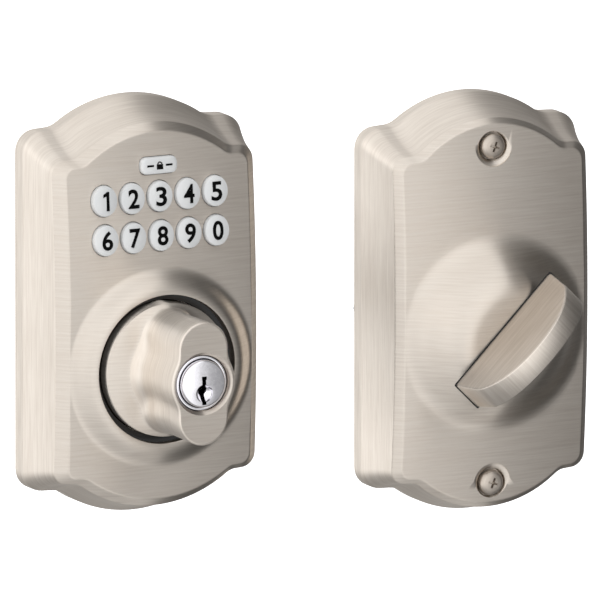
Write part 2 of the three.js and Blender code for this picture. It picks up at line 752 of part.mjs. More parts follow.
function screwRecess(z) {
  const face = faceDepthAt(z);
  const profile = [
    [0, 5], [SCREW_HOLE_RADIUS, 5], [SCREW_HOLE_RADIUS, face - 1.5], [SCREW_HEAD_RADIUS + 0.3, face - 1.5],
    [SCREW_HEAD_RADIUS + 1.2, face + 0.6], [0, face + 0.6],
  ];
  return turned(profile, 20).translate(0, 0, z);
}

const insideCover = cut(
  join(
    coverBody(INSIDE_COVER, outerLayers(INSIDE_COVER)),
    dome(INSIDE_COVER, INSIDE_DOME, INSIDE_DOME_TOP),
  ),
  coverCavity(INSIDE_COVER),
  disc(INSIDE_DOME_TOP + 1, 0, insideDomeDepth - WALL - 1.2, 32),
  disc(SHAFT_RADIUS + GAP, 0, insideDomeDepth + 5, 24),
  ...screwHeights.map(screwRecess),
);
insideHalf.add(mesh('interior_cover', insideCover, satinNickel));

const SUPPORT_FRONT = 1.6;
const supportPlate = cut(
  slab(outlineShape(cavityOutline(INSIDE_COVER, 0.5), INSIDE_COVER.centreZ), 0, SUPPORT_FRONT),
  disc(9, -1, 5, 24),
  ...[-postHole, postHole].map((x) => disc(BOLT_RADIUS + GAP, -1, 5, 12).translate(x, 0, 0)),
  block(-6, 6, -24, -18, -1, 5),
);
insideHalf.add(mesh('support_plate', supportPlate, steel));

[['top', SCREW_UP_Z], ['bottom', SCREW_DOWN_Z]].forEach(([place, z]) => {
  const face = faceDepthAt(z);
  const postFront = face - WALL - 1 - 2 * GAP;
  const postRear = SUPPORT_FRONT + GAP;
  const [bore, body, boreEnd] = [1.9, 3.4, 4.5];
  const outer = [[0, postRear], [body, postRear], [body, postFront]];
  const post = turned([...outer, [bore, postFront], [bore, boreEnd], [0, boreEnd]], 14);
  const coverPost = mesh(`cover_post_${place}`, post, brass);
  coverPost.position.z = z;
  insideHalf.add(coverPost);

  const seat = face - 1.5 + GAP;
  const head = SCREW_HEAD_RADIUS;
  const [shank, tip] = [1.6, 6];
  const screw = turned([
    [0, tip],
    [shank, tip],
    [shank, seat],
    [head, seat],
    [head, seat + 1],
    [0.8 * head, seat + 1.9],
    [0.4 * head, seat + 2.2],
    [0, seat + 2.3],
  ], 16);
  const slot = (angle) => block(-2.2, 2.2, -0.45, 0.45, seat + 0.8, seat + 3).rotateY(angle);
  const coverScrew = mesh(`cover_screw_${place}`, cut(screw, slot(0), slot(Math.PI / 2)), steel);
  coverScrew.position.z = z;
  insideHalf.add(coverScrew);
});

[['left', -postHole], ['right', postHole]].forEach(([side, x]) => {
  const headBack = SUPPORT_FRONT + GAP;
  const head = 4.5;
  const bolt = turned([
    [0, -BOLT_REACH],
    [BOLT_RADIUS, -BOLT_REACH],
    [BOLT_RADIUS, headBack],
    [head, headBack],
    [head, headBack + 1.6],
    [0.75 * head, headBack + 2.6],
    [0, headBack + 2.8],
  ], 12);
  const throughBolt = mesh(`through_bolt_${side}`, bolt, steel);
  throughBolt.position.x = x;
  insideHalf.add(throughBolt);
});

// ---------- inside half: thumbturn, stored half way round its quarter turn ----------

const thumbturnGroup = new THREE.Group();
thumbturnGroup.rotation.y = -Math.PI / 4;
insideHalf.add(thumbturnGroup);

const bladeBase = insideDomeDepth + GAP;

// Side view of the blade: two short, slightly leaning ends and an arc between them.
function bladeShape() {
  const half = TURN_LENGTH / 2;
  const lean = 1.6;
  const shape = new THREE.Shape();
  shape.moveTo(-half, 0);
  shape.lineTo(half, 0);
  shape.lineTo(half - lean, TURN_END_HEIGHT);
  shape.bezierCurveTo(half - 5.5, TURN_HEIGHT - 3.1, half - 13, TURN_HEIGHT, 0, TURN_HEIGHT);
  shape.bezierCurveTo(13 - half, TURN_HEIGHT, 5.5 - half, TURN_HEIGHT - 3.1, lean - half, TURN_END_HEIGHT);
  return shape;
}
const bladeSettings = { depth: TURN_THICKNESS, bevelEnabled: false, curveSegments: 8 };
const bladeGeometry = new THREE.ExtrudeGeometry(bladeShape(), bladeSettings);
bladeGeometry.translate(0, 0, -TURN_THICKNESS / 2);
const bladePoints = bladeGeometry.attributes.position;
for (let i = 0; i < bladePoints.count; i += 1) {
  const risen = bladePoints.getY(i) / TURN_HEIGHT;
  bladePoints.setZ(i, bladePoints.getZ(i) * (1 + (TURN_RIM_THICKNESS / TURN_THICKNESS - 1) * risen));
}
bladeGeometry.translate(0, bladeBase, 0).scale(1, -1, 1);
const shaftEnd = 8.4;
const shaft = disc(SHAFT_RADIUS, shaftEnd, bladeBase + 2, 20);
const CLIP_BACK = insideDomeDepth - WALL - 1.2 - GAP - 1;
const clipGroove = ring(SHAFT_RADIUS - 0.9, SHAFT_RADIUS + 1, CLIP_BACK - GAP, CLIP_BACK + 1 + GAP, 20);
thumbturnGroup.add(mesh('thumbturn', cut(join(bladeGeometry, shaft), clipGroove), satinNickel));
const clip = ring(SHAFT_RADIUS - 0.6, SHAFT_RADIUS + 2.5, CLIP_BACK, CLIP_BACK + 1, 20);
thumbturnGroup.add(mesh('thumbturn_clip', clip, steel));

const [socketX, socketZ] = [TAILPIECE_WIDTH / 2 + GAP, TAILPIECE_THICKNESS / 2 + GAP];
const driverBody = disc(7, 0.6, shaftEnd - GAP, 20);
const driverSocket = block(-socketX, socketX, -socketZ, socketZ, 0, 6.6);
thumbturnGroup.add(mesh('spindle_driver', cut(driverBody, driverSocket), brass));

// ---------- inside half: batteries and board ----------

const trayHalf = CELL_LENGTH / 2 + 2.2;
const trayFloor = SUPPORT_FRONT + GAP;
const cellFrom = trayFloor + 1 + GAP;
const trayTop = LOWEST_CELL_Z + 3 * CELL_PITCH + CELL_RADIUS - 0.6;
const trayBottom = LOWEST_CELL_Z - CELL_RADIUS + 0.6;
const tray = join(
  block(-trayHalf, trayHalf, trayBottom, trayTop, trayFloor, trayFloor + 1),
  block(-trayHalf, -trayHalf + 1, trayBottom, trayTop, trayFloor, cellFrom + 7),
  block(trayHalf - 1, trayHalf, trayBottom, trayTop, trayFloor, cellFrom + 7),
);
insideHalf.add(mesh('battery_tray', tray, blackPlastic));

for (let i = 0; i < 4; i += 1) {
  const tip = 1;
  const can = join(
    rod(CELL_RADIUS, -CELL_LENGTH / 2, CELL_LENGTH / 2 - tip, 16),
    rod(1.8, 0, CELL_LENGTH / 2, 10),
  );
  const cell = mesh(`battery_${i + 1}`, can, batteryWrap);
  cell.position.set(0, -(cellFrom + CELL_RADIUS), LOWEST_CELL_Z + i * CELL_PITCH);
  cell.rotation.y = i % 2 ? Math.PI : 0;
  insideHalf.add(cell);
}
[['left', -1], ['right', 1]].forEach(([side, sign]) => {
  const near = CELL_LENGTH / 2 + GAP;
  const [x0, x1] = [sign * near, sign * (near + 0.5)].sort((a, b) => a - b);
  const strip = block(x0, x1, trayBottom + 1, trayTop - 1, trayFloor + 1 + GAP, cellFrom + 6);
  insideHalf.add(mesh(`battery_contact_${side}`, strip, steel));
});

const boardFrom = 3.4;
const controlBoard = join(
  slab(polygon([[-22, -38], [22, -38], [22, -13], [-22, -13]]), boardFrom, boardFrom + 1.4),
  block(-16, -8, -34, -26, boardFrom + 1, boardFrom + 3),
  block(6, 12, -36, -30, boardFrom + 1, boardFrom + 6),
);
insideHalf.add(mesh('control_board', controlBoard, boardGreen));
const boltSwitch = block(-5, 5, -20, -15, boardFrom + 1.4 + GAP, boardFrom + 6);
insideHalf.add(mesh('bolt_switch', boltSwitch, blackPlastic));

// ---------- whole lock ----------

const lock = new THREE.Group();
lock.add(outsideHalf, insideHalf);
lock.updateMatrixWorld(true);

export default lock;
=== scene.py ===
# Keypad smart lock: the outside half with its keypad and key knob, the inside half with its thumbturn.
# Metres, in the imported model's frame. Pieces are drawn in millimetres and scaled as they are finished.
import math

import bmesh
import bpy
from mathutils import Matrix, Vector


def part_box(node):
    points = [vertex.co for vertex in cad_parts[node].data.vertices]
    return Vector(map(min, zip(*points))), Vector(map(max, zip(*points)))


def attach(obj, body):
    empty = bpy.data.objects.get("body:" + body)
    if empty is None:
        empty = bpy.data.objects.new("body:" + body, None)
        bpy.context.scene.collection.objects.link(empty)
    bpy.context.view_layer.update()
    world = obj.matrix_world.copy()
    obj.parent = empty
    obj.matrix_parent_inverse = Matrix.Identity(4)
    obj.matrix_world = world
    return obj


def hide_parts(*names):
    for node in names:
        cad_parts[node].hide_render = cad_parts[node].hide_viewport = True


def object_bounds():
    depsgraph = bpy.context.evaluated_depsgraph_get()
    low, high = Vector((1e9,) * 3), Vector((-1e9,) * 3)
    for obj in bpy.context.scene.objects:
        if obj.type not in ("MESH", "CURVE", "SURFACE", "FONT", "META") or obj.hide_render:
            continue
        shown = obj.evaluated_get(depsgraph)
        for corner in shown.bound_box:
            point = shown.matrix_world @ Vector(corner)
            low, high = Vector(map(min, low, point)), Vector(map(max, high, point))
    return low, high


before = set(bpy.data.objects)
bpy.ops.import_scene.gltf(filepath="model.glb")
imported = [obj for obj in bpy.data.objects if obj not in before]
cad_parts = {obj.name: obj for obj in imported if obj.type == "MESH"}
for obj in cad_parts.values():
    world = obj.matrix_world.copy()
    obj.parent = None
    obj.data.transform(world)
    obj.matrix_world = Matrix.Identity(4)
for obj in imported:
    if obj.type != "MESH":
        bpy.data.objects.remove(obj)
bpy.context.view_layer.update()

MM = 0.001
QUARTER = math.pi / 2

# ---------- where things are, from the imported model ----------


def middle(node):
    low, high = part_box(node)
    return (low + high) / 2 / MM


INSIDE_X = middle("interior_cover").x

# Each cover in millimetres, its centre and crown above the spindle. back is the outline at the door. The
# walls and then the bevel draw it in by wall and slope. The face falls away by side_bow at FACE_HALF_WIDTH.
OUTSIDE = {
    "side_bow": 0.7,
    "x": 0, "centre": 16.2, "crown": 6.5, "depth": 25.7, "lip": 5.2, "bevel": 3.4,
    "back": dict(
        half=36.6, up=63.5, down=63.5, shoulder_up=55, shoulder_down=55,
        corner=6.5, valley=8, shelf=2.7,
    ),
    "wall": dict(
        half=2.9, up=5.8, down=4.1, shoulder_up=6.8, shoulder_down=4.6,
        corner=2, valley=2.5, shelf=0.9,
    ),
    "slope": dict(
        half=3.3, up=2.3, down=2.6, shoulder_up=1.8, shoulder_down=1.9,
        corner=1.5, valley=0.5, shelf=0.3,
    ),
}
INSIDE = {
    "side_bow": 1.1,
    "x": INSIDE_X, "centre": 6.8, "crown": 10, "depth": 24, "lip": 4.6, "bevel": 2.5,
    "back": dict(
        half=36.1, up=64, down=64, shoulder_up=55.3, shoulder_down=55.3,
        corner=6.5, valley=8, shelf=2.7,
    ),
    "wall": dict(
        half=3.5, up=5.5, down=2.8, shoulder_up=6.5, shoulder_down=3.7,
        corner=2, valley=2.5, shelf=0.9,
    ),
    "slope": dict(
        half=2.45, up=1.4, down=1.9, shoulder_up=1.5, shoulder_down=1.5,
        corner=1.2, valley=0.5, shelf=0.3,
    ),
}
CROWN_RADIUS = 490
FACE_HALF_WIDTH = 30
SHELL = 2.2  # wall of the hollow covers
DOME_FOOT = 31  # radius at which the round swelling begins

# ---------- materials ----------


def linear(code):
    """sRGB hex to linear RGBA."""
    channels = [int(code[i : i + 2], 16) / 255 for i in (1, 3, 5)]
    return (*[c / 12.92 if c <= 0.04045 else ((c + 0.055) / 1.055) ** 2.4 for c in channels], 1)


def add(tree, kind, sockets=None, **settings):
    """One node, with its settings and its inputs: an output given as a value is linked."""
    made = tree.nodes.new(kind)
    for name, value in settings.items():
        setattr(made, name, value)
    for name, value in (sockets or {}).items():
        if isinstance(value, bpy.types.NodeSocket):
            tree.links.new(value, made.inputs[name])
        else:
            made.inputs[name].default_value = value
    return made


def started(name):
    """A new material with its shader, and the object's own coordinates."""
    made = bpy.data.materials.new(name)
    made.use_nodes = True
    tree = made.node_tree
    tree.nodes.clear()
    shader = add(tree, "ShaderNodeBsdfPrincipled")
    add(tree, "ShaderNodeOutputMaterial", {"Surface": shader.outputs["BSDF"]})
    place = add(tree, "ShaderNodeTexCoord").outputs["Object"]
    return made, tree, shader, place


def ranged(tree, value, low, high):
    """Spreads the middle of a noise, where nearly all of it lies, from low to high."""
    return add(
        tree, "ShaderNodeMapRange",
        {"Value": value, "From Min": 0.3, "From Max": 0.7, "To Min": low, "To Max": high},
    ).outputs["Result"]


def tinted(tree, amount, dark, light):
    """A colour between two, by a pattern."""
    mix = add(tree, "ShaderNodeMix", data_type="RGBA")
    mix.inputs[6].default_value = linear(dark)
    mix.inputs[7].default_value = linear(light)
    tree.links.new(amount, mix.inputs[0])
    return mix.outputs[2]


def brushed(name, dark, light, rough, fine, across=None, turn=0.0, depth=0.00001, spread=0.0):
    """Metal rubbed one way with abrasive. fine is the number of streaks per metre along each axis, and
    across is the way at right angles to them, in which highlights spread out."""
    made, tree, shader, place = started(name)
    aligned = add(tree, "ShaderNodeMapping", {"Vector": place, "Rotation": (0, turn, 0)}).outputs["Vector"]
    lay = add(tree, "ShaderNodeMapping", {"Vector": aligned, "Scale": fine}).outputs["Vector"]
    streak = add(
        tree, "ShaderNodeTexNoise", {"Vector": lay, "Scale": 1, "Detail": 3, "Roughness": 0.6}
    ).outputs["Fac"]
    cloud = add(tree, "ShaderNodeTexNoise", {"Vector": place, "Scale": 38, "Detail": 2}).outputs["Fac"]
    both = add(tree, "ShaderNodeMix", {0: 0.2, 2: streak, 3: cloud}).outputs[0]
    tree.links.new(tinted(tree, ranged(tree, both, 0, 1), dark, light), shader.inputs["Base Color"])
    tree.links.new(ranged(tree, both, rough - 0.04, rough + 0.04), shader.inputs["Roughness"])
    bump = add(tree, "ShaderNodeBump", {"Height": streak, "Strength": 0.5, "Distance": depth})
    tree.links.new(bump.outputs["Normal"], shader.inputs["Normal"])
    shader.inputs["Metallic"].default_value = 1
    if across:
        shader.inputs["Anisotropic"].default_value = spread
        way = add(tree, "ShaderNodeCombineXYZ", dict(zip("XYZ", across))).outputs["Vector"]
        kind = dict(vector_type="VECTOR", convert_from="OBJECT", convert_to="WORLD")
        way = add(tree, "ShaderNodeVectorTransform", {"Vector": way}, **kind).outputs["Vector"]
        tree.links.new(way, shader.inputs["Tangent"])
    return made


# Satin nickel plate on cast zinc, rubbed with a fine belt under clear lacquer: highlights stay narrow along
# the rubbing and smear out across it. Real lines are about 0.1 mm apart. So that they show, they are drawn
# about 0.6 mm apart, FAST to the metre, and 14 mm long, ALONG to the metre.
ALONG, FAST = 70, 1700
PALE, DEEP = "#ece4da", "#d8cec3"
nickel_face = brushed(
    "satin_nickel_face", DEEP, PALE, 0.42, (ALONG, ALONG, FAST), (0, 0, 1), spread=0.98, depth=0.00002
)
nickel_wall = brushed("satin_nickel_wall", DEEP, PALE, 0.42, (ALONG, FAST, ALONG), (0, 1, 0), spread=0.85)
# The same satin nickel made darker, painted shade: it darkens the thumbturn's flat sides and the cover
# screws.
nickel_with_painted_shade = brushed(
    "satin_nickel_painted_shade", "#b4aa9f", "#c9c0b6", 0.4, (ALONG, FAST, ALONG), (0, 1, 0), spread=0.6
)
nickel_rim = brushed(
    "satin_nickel_rim", DEEP, PALE, 0.4, (FAST, ALONG, ALONG), (0.7, 0, 0.7), turn=math.pi / 4, spread=0.6
)
# Polished chrome on the key cylinder: sharp reflections with faint turning marks.
chrome = brushed("polished_chrome", "#e3e1e6", "#efeef2", 0.14, (900, 20, 900), depth=0.000003)
# Zinc-plated pressed steel: bluish grey with a faint mottled spangle.
zinc = brushed("zinc_plated_steel", "#a3a8ad", "#bcc0c3", 0.42, (60, 60, 700))
# Machined free-cutting brass, with the lathe's fine feed marks.
brass = brushed("turned_brass", "#b08d4f", "#cfae6d", 0.3, (80, 2600, 80))


def moulded(name, dark, light, rough, grain, depth, sheen=0.0):
    """Moulded plastic, rubber or lacquer with an even fine texture; grain is its pitch in millimetres."""
    made, tree, shader, place = started(name)
    noise = add(
        tree, "ShaderNodeTexNoise", {"Vector": place, "Scale": 1 / (grain * MM), "Detail": 2}
    ).outputs["Fac"]
    cloud = add(tree, "ShaderNodeTexNoise", {"Vector": place, "Scale": 60, "Detail": 2}).outputs["Fac"]
    tree.links.new(tinted(tree, ranged(tree, cloud, 0, 1), dark, light), shader.inputs["Base Color"])
    tree.links.new(ranged(tree, noise, rough - 0.05, rough + 0.05), shader.inputs["Roughness"])
    bump = add(tree, "ShaderNodeBump", {"Height": noise, "Strength": 0.4, "Distance": depth})
    tree.links.new(bump.outputs["Normal"], shader.inputs["Normal"])
    shader.inputs["Sheen Weight"].default_value = sheen
    return made


def set_shader(material, values):
    """Sets more of a finished material's shader, by the names of its sockets."""
    shader = next(n for n in material.node_tree.nodes if n.type == "BSDF_PRINCIPLED")
    for name, value in values.items():
        shader.inputs[name].default_value = value


# Translucent silicone keys with a hard matt top coat: milky grey, light glows a little inside them.
key_rubber = moulded("milky_silicone", "#d3d5d6", "#dfe0e0", 0.34, 0.5, 0.00001)
set_shader(key_rubber, {
    "Subsurface Weight": 0.25, "Subsurface Radius": (0.9, 0.9, 0.95), "Subsurface Scale": 0.0015,
    "Coat Weight": 0.25, "Coat Roughness": 0.12,
})
# Matt ink pressed into the keys, with almost no gloss.
key_ink = moulded("black_key_ink", "#020202", "#040404", 0.8, 0.4, 0.000005)
set_shader(key_ink, {"Specular IOR Level": 0.1})
# Black acetal bearings, moulded: a dull black with a soft gloss.
black_acetal = moulded("black_acetal", "#0b0b0c", "#141415", 0.42, 0.5, 0.00001)
# Closed-cell foam rubber, dark grey and quite matt.
gasket_rubber = moulded("grey_sealing_foam", "#2b2c2d", "#3b3c3d", 0.85, 0.45, 0.00005, 0.2)
# Screen-printed solder mask: deep green lacquer with a soft shine.
board_lacquer = moulded("green_solder_mask", "#174c30", "#22663f", 0.32, 0.6, 0.00001)
# Shrink-wrapped film on the cells: blue-grey and smooth.
cell_wrap = moulded("shrink_wrapped_cell", "#27323c", "#34424e", 0.28, 0.8, 0.000005)
# Moulded black ABS with a fine spark-eroded grain.
abs_black = moulded("black_abs", "#161617", "#202021", 0.5, 0.5, 0.00002)

# ---------- making and finishing pieces ----------

MERGE = 0.0005  # points nearer than this are one point


def spot(x, depth, z):
    """A point in millimetres, its depth measured out from the door."""
    return Vector((x, -depth, z))


def skin(bm, rings, finishes=None, closed=False):
    """Draws the first ring, then extrudes it to each of the others. finishes gives each band's material."""
    verts = [bm.verts.new(point) for point in rings[0]]
    edges = [bm.edges.new(pair) for pair in zip(verts, verts[1:] + verts[:1])]
    for number, ring in enumerate(rings[1:] + (rings[:1] if closed else [])):
        made = bmesh.ops.extrude_edge_only(bm, edges=edges)["geom"]
        fresh = {v for v in made if isinstance(v, bmesh.types.BMVert)}
        edges = [e for e in made if isinstance(e, bmesh.types.BMEdge) and fresh.issuperset(e.verts)]
        verts = [next(e.other_vert(v) for e in v.link_edges if e.other_vert(v) in fresh) for v in verts]
        for vert, point in zip(verts, ring):
            vert.co = point
        for face in {f for e in edges for f in e.link_faces}:
            face.material_index = finishes[number] if finishes else 0


def eased(rings, breadth, creases):
    """Puts a small round on chosen rings: each becomes three, breadth apart, with one more on either side
    that keeps the flats looking flat."""
    out = []
    for number, ring in enumerate(rings):
        if number not in creases:
            out.append(ring)
            continue
        before, after = rings[number - 1], rings[(number + 1) % len(rings)]
        sides = []
        for beside in (before, after):
            for reach, most in ((breadth * 2, 0.45), (breadth, 0.25)):
                sides.append([
                    p + (a - p).normalized() * min(reach, (a - p).length * most) for p, a in zip(ring, beside)
                ])
        ease = [(p * 2 + a + b) / 4 for p, a, b in zip(ring, sides[1], sides[3])]
        out += [sides[0], sides[1], ease, sides[3], sides[2]]
    return out


def turned(bm, profile, steps=64, crease=0.0):
    """Spins a [radius, depth] outline about the Y axis. crease rounds its inner corners."""
    corners = [Vector((r, -d, 0)) for r, d in profile]
    path = [corners[0]]
    for before, corner, after in zip(corners, corners[1:], corners[2:]):
        reach = min(crease, (before - corner).length * 0.45, (after - corner).length * 0.45)
        if reach < 0.01:
            path.append(corner)
            continue
        near = corner + (before - corner).normalized() * reach
        far = corner + (after - corner).normalized() * reach
        path += [near, (corner * 2 + near + far) / 4, far]
    path.append(corners[-1])
    verts = [bm.verts.new(point) for point in path]
    edges = [bm.edges.new(pair) for pair in zip(verts, verts[1:])]
    bmesh.ops.spin(
        bm, geom=verts + edges, cent=(0, 0, 0), axis=(0, 1, 0), dvec=(0, 0, 0),
        angle=2 * math.pi, steps=steps, use_merge=True, use_duplicate=False,
    )
    bmesh.ops.remove_doubles(bm, verts=bm.verts, dist=MERGE)


def thicken(bm, face, by):
    """Extrudes a face by a vector."""
    risen = bmesh.ops.extrude_face_region(bm, geom=[face])
    far = [v for v in risen["geom"] if isinstance(v, bmesh.types.BMVert)]
    bmesh.ops.translate(bm, vec=by, verts=far)


def slab(bm, points, start, end):
    """A flat outline in X and Z made thick between two depths."""
    face = bm.faces.new([bm.verts.new(spot(x, start, z)) for x, z in points])
    thicken(bm, face, spot(0, end - start, 0))


def mesh_from(bm, name, materials):
    """Tidies a bmesh in millimetres and makes it a mesh in metres."""
    bmesh.ops.remove_doubles(bm, verts=bm.verts, dist=MERGE)
    bmesh.ops.recalc_face_normals(bm, faces=bm.faces)
    bmesh.ops.scale(bm, vec=(MM, MM, MM), verts=bm.verts)
    made = bpy.data.meshes.new(name)
    bm.to_mesh(made)
    bm.free()
    for material in materials:
        made.materials.append(material)
    return made


def smoothed(mesh, angle):
    """Smooth shading, with edges sharper than the angle left crisp."""
    for face in mesh.polygons:
        face.use_smooth = True
    mesh.set_sharp_from_angle(angle=math.radians(angle))


def finished(bm, name, materials, body, nodes=(), cutters=(), angle=32):
    """Makes the piece with its materials, cuts its holes, smooths it, puts it under its body and hides the
    imported nodes that it stands for.
    """
    piece = bpy.data.objects.new(name, mesh_from(bm, name, materials))
    bpy.context.scene.collection.objects.link(piece)
    if cutters:
        piece.data = carved(piece, cutters)
    smoothed(piece.data, angle)
    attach(piece, body)
    if nodes:
        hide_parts(*nodes)
    return piece


def carved(piece, cutters):
    """The piece's mesh with every cutter taken out of it."""
    tools = []
    for number, cutter in enumerate(cutters):
        tool = bpy.data.objects.new("tool", mesh_from(cutter, "tool", []))
        bpy.context.scene.collection.objects.link(tool)
        tools.append(tool)
        hole = piece.modifiers.new(f"hole_{number}", "BOOLEAN")
        hole.operation = "DIFFERENCE"
        hole.solver = "EXACT"
        hole.object = tool
    graph = bpy.context.evaluated_depsgraph_get()
    done = bpy.data.meshes.new_from_object(piece.evaluated_get(graph))
    piece.modifiers.clear()
    for tool in tools:
        bpy.data.objects.remove(tool)
    while len(done.materials) > max(1, len(piece.data.materials)):
        done.materials.pop()
    return done


# ---------- cover outline ----------


def arc(x, z, radius, start, end, steps):
    angles = [start + (end - start) * i / steps for i in range(steps + 1)]
    return [(x + radius * math.cos(a), z + radius * math.sin(a)) for a in angles]


def shoulder_and_arch(half, height, shoulder, corner, valley, shelf):
    """From the side up to the top of the arch, whose radius follows from touching the valley."""
    valley_x = half - corner - shelf
    valley_z = shoulder + 0.12 + valley
    offset = valley_z - height
    arch = (valley_x**2 + offset**2 - valley**2) / (2 * (valley - offset))
    lean = math.atan2(offset + arch, valley_x)
    return [
        *arc(half - corner, shoulder - corner, corner, 0, QUARTER, 8),
        *arc(valley_x, valley_z, valley, -QUARTER, lean - math.pi, 5),
        *arc(0, height - arch, arch, lean, QUARTER, 14)[1:],
    ]


def outline(cover, o):
    """The closed outline, anticlockwise from its lowest point. Its straight sides are cut at even angles."""
    centre, half, steps = cover["centre"], o["half"], 44
    bends = (o["corner"], o["valley"], o["shelf"])
    upper = [(x, z + centre) for x, z in shoulder_and_arch(half, o["up"], o["shoulder_up"], *bends)]
    lower = [(x, centre - z) for x, z in shoulder_and_arch(half, o["down"], o["shoulder_down"], *bends)][::-1]
    start, end = (math.atan2(z, half) for z in (lower[-1][1], upper[0][1]))
    side = [(half, half * math.tan(start + (end - start) * i / steps)) for i in range(1, steps)]
    right = [(0, lower[0][1])] + lower[1:] + side + upper[:-1] + [(0, upper[-1][1])]
    return right + [(-x, z) for x, z in right[-2:0:-1]]


def inset(o, by, share=1.0):
    """An outline's sizes, drawn in by a share of the others."""
    return {key: value - by[key] * share for key, value in o.items()}


def all_round(distance):
    """Sizes that draw an outline in by the same distance everywhere."""
    keys = ("half", "up", "down", "shoulder_up", "shoulder_down")
    return dict.fromkeys(keys, distance) | dict(corner=min(distance / 2, 1.5), valley=0, shelf=0)


def bow(cover, x, z):
    """How far the face falls back from its depth, from its bows up and down and side to side."""
    return (z - cover["crown"]) ** 2 / (2 * CROWN_RADIUS) + cover["side_bow"] * (x / FACE_HALF_WIDTH) ** 2


def dome_height(radius, rise, top):
    """The swelling's height: level inside top, and an S-curve down to its foot."""
    t = min(max((DOME_FOOT - radius) / (DOME_FOOT - top), 0), 1) ** 0.85
    return rise * t * t * t * (t * (6 * t - 15) + 10)


def layer(cover, o, depth, share):
    """An outline at a depth, with a share of the face's bow."""
    return [spot(x, depth - share * bow(cover, x, z), z) for x, z in outline(cover, o)]


def mixed(a, b, share):
    return [p.lerp(q, share) for p, q in zip(a, b)]


def circle_like(ring, radius, depth):
    """A circle about the spindle with a point in line with each of the ring's."""
    out = []
    for point in ring:
        reach = radius / math.hypot(point.x, point.z)
        out.append(spot(point.x * reach, depth, point.z * reach))
    return out


def on_face(cover, ring, rise, top, below=0.0):
    """Drops a flat ring on to the bowed face and its round swelling."""
    out = []
    for p in ring:
        height = cover["depth"] - bow(cover, p.x, p.z) + dome_height(math.hypot(p.x, p.z), rise, top)
        out.append(spot(p.x, height - below, p.z))
    return out


def cover_rings(cover, rise, top, hole):
    """Back edge, lip, hollow wall, bevel and the face with its swelling, as far as the hole."""
    back, top_depth = cover["back"], cover["depth"] - cover["bevel"]
    wall = top_depth - cover["lip"]
    rings = [layer(cover, back, 0, 0), layer(cover, back, cover["lip"], 0)]
    for part in (0.12, 0.3, 0.5, 0.7, 0.86, 1):
        hollow = part + 0.1 * math.sin(math.pi * part)
        share = part * top_depth / cover["depth"]
        rings.append(layer(cover, inset(back, cover["wall"], hollow), cover["lip"] + wall * part, share))
    edge = inset(inset(back, cover["wall"]), cover["slope"])
    rings.append(layer(cover, edge, cover["depth"], 1))
    creases = {1, len(rings) - 2, len(rings) - 1}  # top of the lip, top of the wall and top of the bevel
    flat = [Vector((p.x, 0, p.z)) for p in rings[-1]]
    foot = []
    for p in flat:
        length = math.hypot(p.x, p.z)
        radius = min(DOME_FOOT, top + 0.86 * (length - top))
        foot.append(Vector((p.x * radius / length, 0, p.z * radius / length)))
    outer_steps = 9
    for i in range(1, outer_steps + 1):
        rings.append(on_face(cover, mixed(flat, foot, (i / outer_steps) ** 0.8), rise, top))
    inner = circle_like(flat, top, 0)
    inner_steps = 16
    for i in range(1, inner_steps + 1):
        rings.append(on_face(cover, mixed(foot, inner, i / inner_steps), rise, top))
    for radius in hole:
        rings.append(on_face(cover, circle_like(flat, radius, 0), rise, top))
    return rings, creases


def shell(bm, cover, rise, top, hole, seat):
    """The whole cover: outside, hole, underside, back rim with a groove for the gasket. seat is a counterbore
    behind the hole."""
    rings, creases = cover_rings(cover, rise, top, hole)
    flat = rings[-1]
    creases.add(len(rings) - 1)
    hollow = inset(inset(cover["back"], cover["wall"]), all_round(SHELL))
    inner = layer(cover, hollow, 0, 0)
    for radius, depth in seat:
        rings.append(circle_like(flat, radius, depth))
    under = [Vector((p.x, 0, p.z)) for p in inner]
    last = circle_like(under, seat[-1][0], 0)
    for share in (0.3, 0.65, 1):
        rings.append(on_face(cover, mixed(last, under, share), 0, top, SHELL + 1))
    rings.append(inner)
    groove = [(5, 0), (5, 1.2), (1.5, 1.2), (1.5, 0)]
    for distance, depth in groove:
        rings.append(layer(cover, inset(cover["back"], all_round(distance)), depth, 0))
    rings = eased(rings, 0.3, creases)
    wall_bands = 13  # the lip and the walls are rubbed the other way than the bevel and the face
    skin(bm, rings, [1 if i < wall_bands else 0 for i in range(len(rings))], closed=True)
    bmesh.ops.translate(bm, vec=(cover["x"], 0, 0), verts=bm.verts)


# ---------- outside half: cover ----------

KNOB_HOLE = 22.75
OUTSIDE_RISE = 3.6
KEY_WIDTH, KEY_HEIGHT, KEY_GAP = 8.2, 9.5, 0.22
KEY_PITCH_X, KEY_PITCH_Z = 9.25, 11.9
KEYPAD_Z = 46.2
KEY_PROUD = 1.7
PROGRAM_Z = 15.3
keypad_depth = OUTSIDE["depth"] - (KEYPAD_Z - OUTSIDE["crown"]) ** 2 / (2 * CROWN_RADIUS)
keypad_tilt = -math.atan((KEYPAD_Z - OUTSIDE["crown"]) / CROWN_RADIUS)
keypad_place = Matrix.Translation(spot(0, keypad_depth, KEYPAD_Z)) @ Matrix.Rotation(keypad_tilt, 4, "X")
key_names = "1234567890"
key_spots = [((i % 5 - 2) * KEY_PITCH_X, (0.5 - i // 5) * KEY_PITCH_Z) for i in range(10)]


def oval_cutters():
    bm = bmesh.new()
    for x, z in key_spots:
        made = bmesh.ops.create_circle(bm, cap_ends=True, segments=48, radius=1)
        verts = made["verts"]
        size = Matrix.Diagonal((KEY_WIDTH / 2 + KEY_GAP, KEY_HEIGHT / 2 + KEY_GAP, 1, 1))
        place = keypad_place @ Matrix.Translation(spot(x, -7, z)) @ Matrix.Rotation(QUARTER, 4, "X") @ size
        bmesh.ops.transform(bm, matrix=place, verts=verts)
        thicken(bm, verts[0].link_faces[0], keypad_place.to_3x3() @ spot(0, 12, 0))
    return bm


